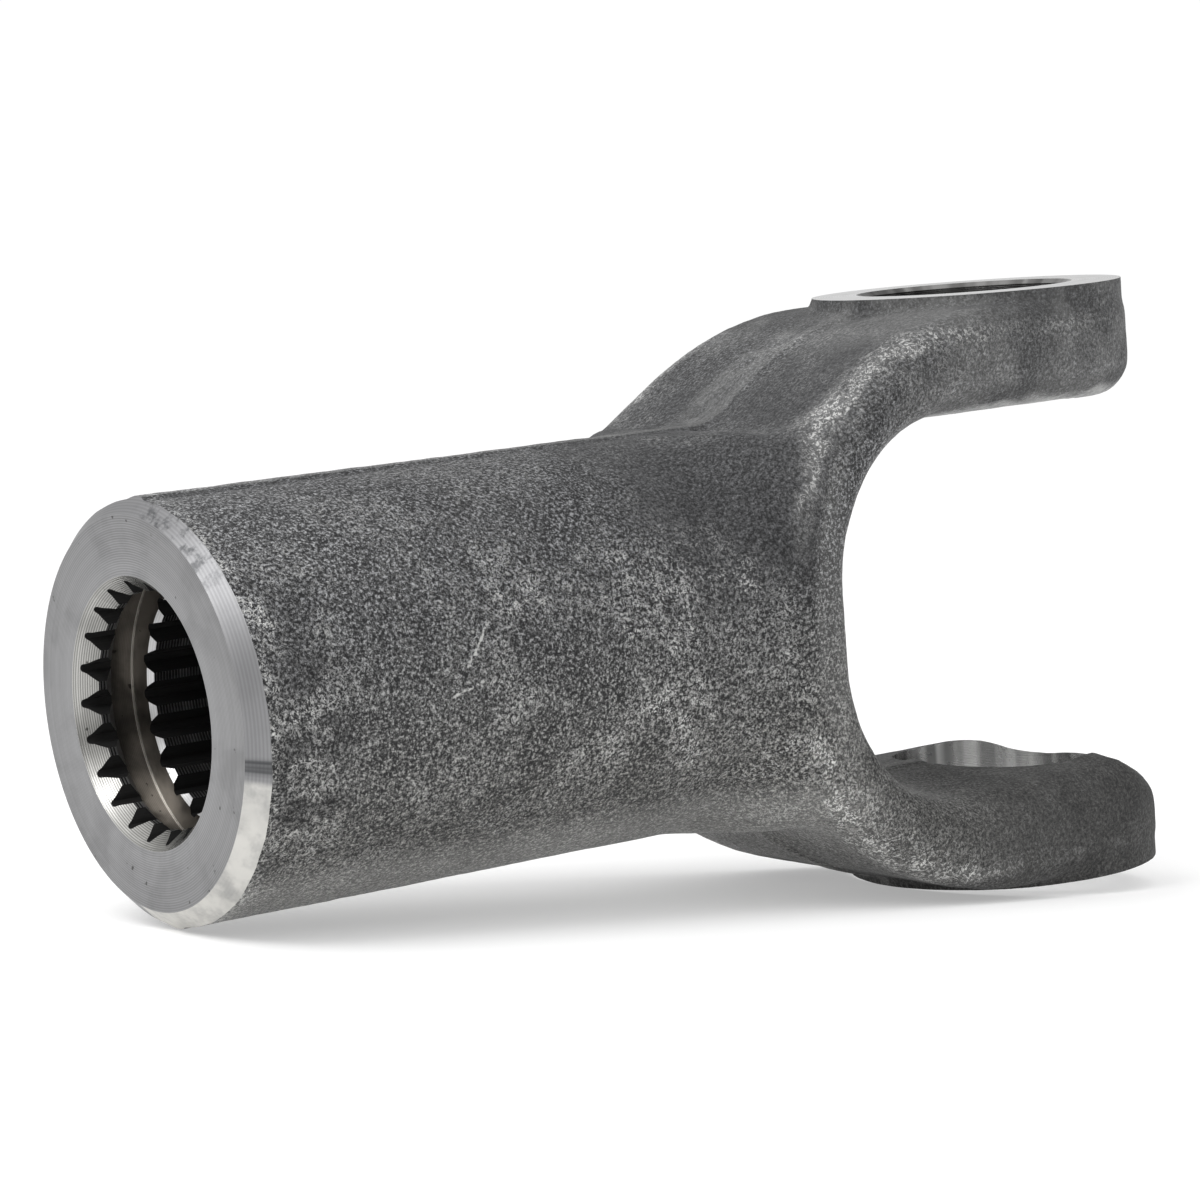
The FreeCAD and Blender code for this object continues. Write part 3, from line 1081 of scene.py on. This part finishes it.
    def spline_outline(self) -> list[tuple[float, float]]:
        """Outline of the broach: involute spaces with round roots, and a core just under the lands.

        Returns:
            Radius in millimetres and angle of each point, round the axis.
        """
        s = self.sizes
        tip, form = s.bore_tip_radius, s.bore_form_radius
        flank = [tip + (form - tip) * step / self.flank_steps for step in range(self.flank_steps + 1)]
        half = [(tip - self.core_step, -self.space_half_angle(tip))]
        half += [(radius, -self.space_half_angle(radius)) for radius in flank]
        roots = []
        for step in range(1, 2 * self.root_steps):
            share = step / self.root_steps - 1
            lift = math.sqrt(1 - share * share)
            roots.append((form + (s.bore_root_radius - form) * lift, self.space_half_angle(form) * share))
        space = half + roots + [(radius, -angle) for radius, angle in reversed(half)]
        pitch = math.tau / s.teeth
        centres = [math.pi / 2 + (tooth + 0.5) * pitch for tooth in range(s.teeth)]
        return [(radius, centre + angle) for centre in centres for radius, angle in space]

    def broach(self) -> bpy.types.Object:
        """Cut of the spaces between the teeth, from the hub's face into the gap.

        Returns:
            The tool.
        """
        s = self.sizes
        shape = bmesh.new()
        outline = [(r * math.cos(a), r * math.sin(a)) for r, a in self.spline_outline()]
        first, second = (
            [shape.verts.new(Vector((along, across, up)) * MM) for across, up in outline]
            for along in (s.hub_face_x - self.overrun, s.bore_exit_x + 3 * self.overrun)
        )
        for index in range(len(first)):
            after = (index + 1) % len(first)
            shape.faces.new((first[index], first[after], second[after], second[index]))
        shape.faces.new(list(reversed(first)))
        shape.faces.new(second)
        for face in shape.faces:
            face.material_index = Slot.SPACE.value
        bmesh.ops.recalc_face_normals(shape, faces=shape.faces)
        bmesh.ops.triangulate(shape, faces=[f for f in shape.faces if len(f.verts) > 4])
        return new_object("broach", shape)

    def ear_bores(self) -> bpy.types.Object:
        """Cut of both ear bores with their snap ring grooves, and of the faced pads.

        Returns:
            The tool.
        """
        s = self.sizes
        radius = s.ear_bore_radius
        groove = radius + s.snap_groove_depth
        upper = s.half_span - s.snap_groove_inset
        lower = upper - s.snap_groove_width
        wide = s.ear_end_radius + self.overrun
        bore, pad = Slot.EAR_BORE.value, Slot.EAR_PAD.value
        half: Profile = [
            (lower, radius, bore),
            (lower, groove, bore),
            (upper, groove, bore),
            (upper, radius, bore),
            (s.half_span - s.ear_bore_chamfer, radius, bore),
            (s.half_span, radius + s.ear_bore_chamfer, pad),
            (s.half_span, wide, pad),
            (s.half_span + self.overrun, wide, pad),
            (s.half_span + self.overrun, 0.0, pad),
        ]
        mirrored = [(-along, r, half[max(index - 1, 0)][2]) for index, (along, r, _) in enumerate(half)][::-1]
        return self.turned("ear_bores", Axis.EARS, mirrored + half)

    def tools(self) -> list[bpy.types.Object]:
        """All cuts in the order they are made."""
        return [self.facing(), self.ear_bores(), self.bore(), self.countersink(),
                self.bore_exit(), self.ring_groove(), self.broach()]


@dataclass
class Forging:
    """The raw forging, rebuilt from the CAD solid with its bores closed and stock left to machine."""

    sizes: YokeSizes
    voxel: float = 0.0007
    weld: float = 1e-7
    stock: float = 3.0
    stock_overlap: float = 1.0
    wall_margin: float = 0.05
    rim_margin: float = 0.02
    exit_reach: float = 7.0
    ear_start: float = 20.0
    ear_middle: float = 30.0
    off_axis: float = 0.1
    plug_segments: int = 160
    waves: tuple[tuple[float, float], ...] = ((0.018, 0.14), (0.0045, 0.16), (0.0018, 0.10))

    def is_bore_wall(self, face: bmesh.types.BMFace) -> bool:
        """Whether a face of the CAD mesh belongs to a bore.

        Args:
            face: The face.

        Returns:
            True for the walls of the splined bore and of the ear bores, with their grooves.
        """
        s = self.sizes
        x, y, z = face.calc_center_median() / MM
        from_hub = max(math.hypot(v.co.y, v.co.z) for v in face.verts) / MM
        from_ears = max(math.hypot(v.co.x, v.co.y) for v in face.verts) / MM
        if from_hub < s.groove_radius + self.wall_margin:
            if math.hypot(y, z) > self.off_axis and x < s.bore_exit_x + self.exit_reach:
                return True
        rim = s.ear_bore_radius + s.ear_bore_chamfer + self.rim_margin
        wall = s.ear_bore_radius + s.snap_groove_depth + self.wall_margin
        return abs(z) > self.ear_start and from_ears < (wall if abs(z) > self.ear_middle else rim)

    def closed_copy(self, node: bpy.types.Object) -> bpy.types.Object:
        """Copy the CAD mesh, take its bores' walls out and close the holes.

        Args:
            node: The CAD object.

        Returns:
            The closed copy.
        """
        shape = bmesh.new()
        shape.from_mesh(node.data)
        bmesh.ops.remove_doubles(shape, verts=shape.verts, dist=self.weld)
        walls = [face for face in shape.faces if self.is_bore_wall(face)]
        bmesh.ops.delete(shape, geom=walls, context="FACES")
        bmesh.ops.holes_fill(shape, edges=[e for e in shape.edges if e.is_boundary], sides=0)
        bmesh.ops.triangulate(shape, faces=[f for f in shape.faces if len(f.verts) > 3])
        return new_object("raw_forging", shape)

    def plug(self, axis: Axis, start: float, end: float, radius: float) -> bmesh.types.BMesh:
        """A disc of stock about the forging's own centre.

        Args:
            axis: Axis of the disc.
            start: Where it starts along the axis, in millimetres.
            end: Where it ends.
            radius: Its radius.

        Returns:
            The disc as a bmesh in metres.
        """
        s = self.sizes
        shape = bmesh.new()
        bmesh.ops.create_cone(shape, cap_ends=True, segments=self.plug_segments, radius1=radius * MM,
                              radius2=radius * MM, depth=abs(end - start) * MM)
        middle = (start + end) / 2
        turn, centre = Matrix.Identity(4), (0.0, s.forging_shift_y, middle)
        if axis is Axis.HUB:
            turn = Matrix.Rotation(math.pi / 2, 4, "Y")
            centre = (middle, s.forging_shift_y, s.forging_shift_z)
        bmesh.ops.transform(shape, matrix=Matrix.Translation(Vector(centre) * MM) @ turn, verts=shape.verts)
        return shape

    def flash_stub(self, side: int) -> bmesh.types.BMesh:
        """The flash's ridge on the stock in front of the hub's face.

        Args:
            side: 1 above the hub and -1 under it.

        Returns:
            The ridge as a bmesh in metres.
        """
        s = self.sizes
        shape = bmesh.new()
        bmesh.ops.create_cube(shape, size=1.0)
        size = Vector((3 * self.stock, s.flash_width, 2 * s.flash_height)) * MM
        top = side * s.hub_radius + s.forging_shift_z
        place = Vector((s.hub_face_x + self.stock / 2, s.forging_shift_y, top)) * MM
        stretch = Matrix.Diagonal((*size, 1.0))
        bmesh.ops.transform(shape, matrix=Matrix.Translation(place) @ stretch, verts=shape.verts)
        return shape

    def stock_pieces(self) -> list[bmesh.types.BMesh]:
        """Stock in front of the hub's face and on the ears' pads.

        Returns:
            The pieces of stock as bmeshes in metres.
        """
        s = self.sizes
        pieces = [self.plug(Axis.HUB, s.hub_face_x - self.stock, s.hub_face_x + 2 * self.stock, s.hub_radius)]
        for side in (-1, 1):
            inner, outer = s.half_span - self.stock_overlap, s.half_span + self.stock
            pieces.append(self.plug(Axis.EARS, side * inner, side * outer, s.ear_pad_radius))
            pieces.append(self.flash_stub(side))
        return pieces

    def roughen(self, piece: bpy.types.Object) -> None:
        """Press the unevenness of a forged skin into the mesh, inwards only.

        Args:
            piece: The remeshed forging.
        """
        mesh = piece.data
        count = len(mesh.vertices)
        places = np.empty(count * 3, np.float32)
        normals = np.empty(count * 3, np.float32)
        mesh.vertices.foreach_get("co", places)
        mesh.vertex_normals.foreach_get("vector", normals)
        places, normals = places.reshape(-1, 3), normals.reshape(-1, 3)
        depth = np.zeros(count)
        for length, height in self.waves:
            values = np.array([noise.noise(Vector(p) / length) for p in places.tolist()])
            depth += (values - 1.0) * 0.5 * height * MM
        places += normals * depth[:, None]
        mesh.vertices.foreach_set("co", places.ravel())
        mesh.update()

    def build(self, node: bpy.types.Object) -> bpy.types.Object:
        """Make the raw forging.

        Args:
            node: The CAD object.

        Returns:
            The remeshed, slightly uneven forging with stock on it.
        """
        piece = self.closed_copy(node)
        shape = bmesh.new()
        shape.from_mesh(piece.data)
        for extra in self.stock_pieces():
            helper = bpy.data.meshes.new("stock")
            extra.to_mesh(helper)
            extra.free()
            shape.from_mesh(helper)
            bpy.data.meshes.remove(helper)
        shape.to_mesh(piece.data)
        shape.free()
        remesh = piece.modifiers.new("skin", "REMESH")
        remesh.mode = "VOXEL"
        remesh.voxel_size = self.voxel
        settle(piece)
        self.roughen(piece)
        LOG.info("forging: %d faces", len(piece.data.polygons))
        return piece


@dataclass
class Yoke:
    """The finished yoke: a forging machined by its tools and dressed with its finishes."""

    sizes: YokeSizes = field(default_factory=YokeSizes)
    sharp_angle: float = 32.0

    def finishes(self) -> list[bpy.types.Material]:
        """Make one material for each slot.

        Returns:
            The materials in the order of the slots.
        """
        finishes = {
            Slot.SKIN: ForgedSkin(self.sizes),
            Slot.TURNED: Machined("turned_face", feed=0.00032, contrast=0.85, ring_height=0.00003, grime=0.08,
                                  colour=(0.295, 0.295, 0.30), dark=(0.17, 0.17, 0.172)),
            Slot.COUNTERSINK: Machined("countersink", feed=0.0002, contrast=0.9, ring_height=0.00003,
                                       colour=(0.50, 0.495, 0.475), dark=(0.08, 0.08, 0.076), roughness=0.24),
            Slot.LAND: Machined("tooth_land", along_axis=True, feed=0.00045, contrast=1.0,
                                colour=grey(0.75), dark=grey(0.02), ring_height=0.00003),
            # The tooth spaces are painted near black for the shade inside the bore.
            Slot.SPACE: Machined("tooth_space", metal=0.4, roughness=0.45,
                                 colour=grey(0.02), dark=grey(0.008)),
            # The groove's heavy smudges and brown tone are part oil, part painted shade of the deep groove.
            Slot.GROOVE: Machined("ring_groove", along_axis=True, grime=0.6, roughness=0.3,
                                  colour=(0.30, 0.282, 0.258), dark=(0.12, 0.112, 0.104),
                                  # painted highlight line at the groove's corner
                                  highlight_line=-0.1318),
            Slot.TOOTH_END: Machined("tooth_end"),
            # The ear bores: painted reflection stripes round the axis, and painted shade in the upper bore.
            Slot.EAR_BORE: Machined("ear_bore", Axis.EARS, along_axis=True, contrast=0.15, roughness=0.2,
                                    colour=(0.95, 0.95, 0.94), dark=grey(0.40), grime=0.05,
                                    stripes=5.0, shade_above=0.020),
            Slot.EAR_PAD: Machined("ear_pad", Axis.EARS, feed=0.0004, contrast=0.6, grime=0.12,
                                   colour=grey(0.80), dark=grey(0.42)),
            Slot.RIM: TurnedRim(),
        }
        effects = Effects()
        return [finishes[slot].build(effects) for slot in Slot]

    def machine(self, piece: bpy.types.Object, tool: bpy.types.Object) -> None:
        """Cut one tool out of the forging and drop the tool.

        Args:
            piece: The forging, cut in place.
            tool: The closed tool.
        """
        cut = piece.modifiers.new("cut", "BOOLEAN")
        cut.operation = "DIFFERENCE"
        cut.solver = "MANIFOLD"
        cut.object = tool
        settle(piece)
        name, mesh = tool.name, tool.data
        bpy.data.objects.remove(tool)
        bpy.data.meshes.remove(mesh)
        LOG.info("after %s: %d faces", name, len(piece.data.polygons))

    def build(self, node: bpy.types.Object) -> bpy.types.Object:
        """Make the finished yoke from the CAD object.

        Args:
            node: The CAD object that it stands for.

        Returns:
            The dressed piece.
        """
        piece = Forging(self.sizes).build(node)
        piece.name = piece.data.name = "yoke_body"
        tools = Machining(self.sizes).tools()
        for material in self.finishes():
            for cut in (piece, *tools):
                cut.data.materials.append(material)
        for tool in tools:
            self.machine(piece, tool)
        piece.data.shade_smooth()
        piece.data.set_sharp_from_angle(angle=math.radians(self.sharp_angle))
        return piece


@dataclass
class Studio:
    """White product studio: floor, lights and camera."""

    camera_place: Point = (-0.39189, -0.45513, 0.06942)
    camera_right: Point = (0.80842, -0.58384, -0.07477)
    camera_up: Point = (0.12725, 0.04933, 0.99064)
    focal_length: float = 122.68
    sensor_width: float = 36.0
    view_reach: tuple[float, float] = (0.05, 200.0)
    floor_reach: float = 60.0
    floor_tone: float = 0.66
    floor_glow: float = 0.36
    rim_contact: tuple[float, float] = (-0.1395, -0.0285)
    pad_contact: tuple[float, float] = (-0.0225, -0.0425)
    yoke_middle: Point = (-0.06, 0.0, 0.0)
    ceiling_aim: Point = (0.25, 0.15, -1.0)
    ceiling_spread: float = 100.0
    sky_span: tuple[float, float] = (0.0, 0.9)
    backdrop_span: tuple[float, float] = (0.2, 0.95)

    def floor(self) -> bpy.types.Object:
        """A pale floor through the two lines that the yoke rests on.

        Returns:
            The floor's object.
        """
        (x0, z0), (x1, z1) = self.rim_contact, self.pad_contact
        slope = (z1 - z0) / (x1 - x0)
        shape = bmesh.new()
        corners = []
        for side_x, side_y in ((-1, -1), (1, -1), (1, 1), (-1, 1)):
            x, y = side_x * self.floor_reach, side_y * self.floor_reach
            corners.append(shape.verts.new((x, y, z0 + slope * (x - x0))))
        shape.faces.new(corners)
        piece = new_object("floor", shape)
        paper = Finish("floor_paper").dress(
            Base_Color=grey(self.floor_tone), Emission_Color=grey(1.0), Emission_Strength=self.floor_glow,
            Roughness=0.95, Specular_IOR_Level=0.1,
        )
        piece.data.materials.append(paper)
        return piece

    def softbox(self, name: str, place: Point, size: tuple[float, float], power: float) -> bpy.types.Object:
        """A soft rectangular light that faces the yoke's middle.

        Args:
            name: Name of the light.
            place: Its place in metres.
            size: Its width and height in metres.
            power: Its power in watts.

        Returns:
            The light's object.
        """
        lamp = bpy.data.lights.new(name, "AREA")
        lamp.shape = "RECTANGLE"
        lamp.size, lamp.size_y = size
        lamp.energy = power
        piece = link(bpy.data.objects.new(name, lamp))
        piece.location = place
        aim = Vector(self.yoke_middle) - Vector(place)
        piece.rotation_euler = aim.to_track_quat("-Z", "Y").to_euler()
        return piece

    def ceiling(self, strength: float) -> bpy.types.Object:
        """Even light from above that keeps the floor white as far as it is seen.

        Args:
            strength: Strength in watts to the square metre.

        Returns:
            The light's object.
        """
        lamp = bpy.data.lights.new("ceiling", "SUN")
        lamp.energy = strength
        lamp.angle = math.radians(self.ceiling_spread)
        piece = link(bpy.data.objects.new("ceiling", lamp))
        piece.rotation_euler = Vector(self.ceiling_aim).to_track_quat("-Z", "Y").to_euler()
        return piece

    def surroundings(self, seen: float, low: float, high: float, behind: float) -> None:
        """White surroundings, dimmer to the part near the horizon than overhead and behind it.

        Args:
            seen: Brightness in the camera's view.
            low: Brightness that lights the part from the horizon.
            high: Brightness that lights it from overhead.
            behind: What the white backdrop adds on the far side.
        """
        world = bpy.data.worlds.new("studio")
        bpy.context.scene.world = world
        world.use_nodes = True
        nodes = Nodes(world.node_tree)
        _, y, z = nodes.axes(nodes.add("ShaderNodeTexCoord").outputs["Generated"])
        sky = nodes.ramp(z, *self.sky_span, low, high)
        backdrop = nodes.ramp(y, *self.backdrop_span, 0.0, behind)
        ray = nodes.add("ShaderNodeLightPath").outputs["Is Camera Ray"]
        cast = nodes.product(nodes.total(sky, backdrop), nodes.less(1.0, ray))
        strength = nodes.total(cast, nodes.product(ray, seen))
        nodes.fill(world.node_tree.nodes["Background"], Color=grey(1.0), Strength=strength)

    def camera(self) -> bpy.types.Object:
        """The camera at the photograph's viewing angle.

        Returns:
            The camera's object.
        """
        lens = bpy.data.cameras.new("camera")
        lens.lens = self.focal_length
        lens.sensor_width = self.sensor_width
        lens.sensor_fit = "HORIZONTAL"
        lens.clip_start, lens.clip_end = self.view_reach
        piece = link(bpy.data.objects.new("camera", lens))
        right, up = Vector(self.camera_right).normalized(), Vector(self.camera_up).normalized()
        back = right.cross(up).normalized()
        turn = Matrix((right, back.cross(right), back)).transposed().to_4x4()
        piece.matrix_world = Matrix.Translation(self.camera_place) @ turn
        bpy.context.scene.camera = piece
        return piece

    def build(self) -> None:
        """Set up the whole studio."""
        self.floor()
        self.camera()
        self.surroundings(seen=1.02, low=0.34, high=0.60, behind=0.45)
        self.ceiling(strength=1.5)
        self.softbox("key", place=(-0.65, -0.15, 0.75), size=(0.45, 0.45), power=4.0)
        bpy.context.scene.view_settings.view_transform = "Standard"


def main() -> None:
    """Build the yoke and its studio."""
    logging.basicConfig(level=logging.INFO, format="%(name)s: %(message)s")
    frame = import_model()
    piece = Yoke().build(frame["nodes"][NODE])
    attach(piece, "root")
    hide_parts(NODE)
    Studio().build()
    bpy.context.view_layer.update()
    LOG.info("%s: %d faces", piece.name, len(piece.data.polygons))


if __name__ == "__main__":
    main()
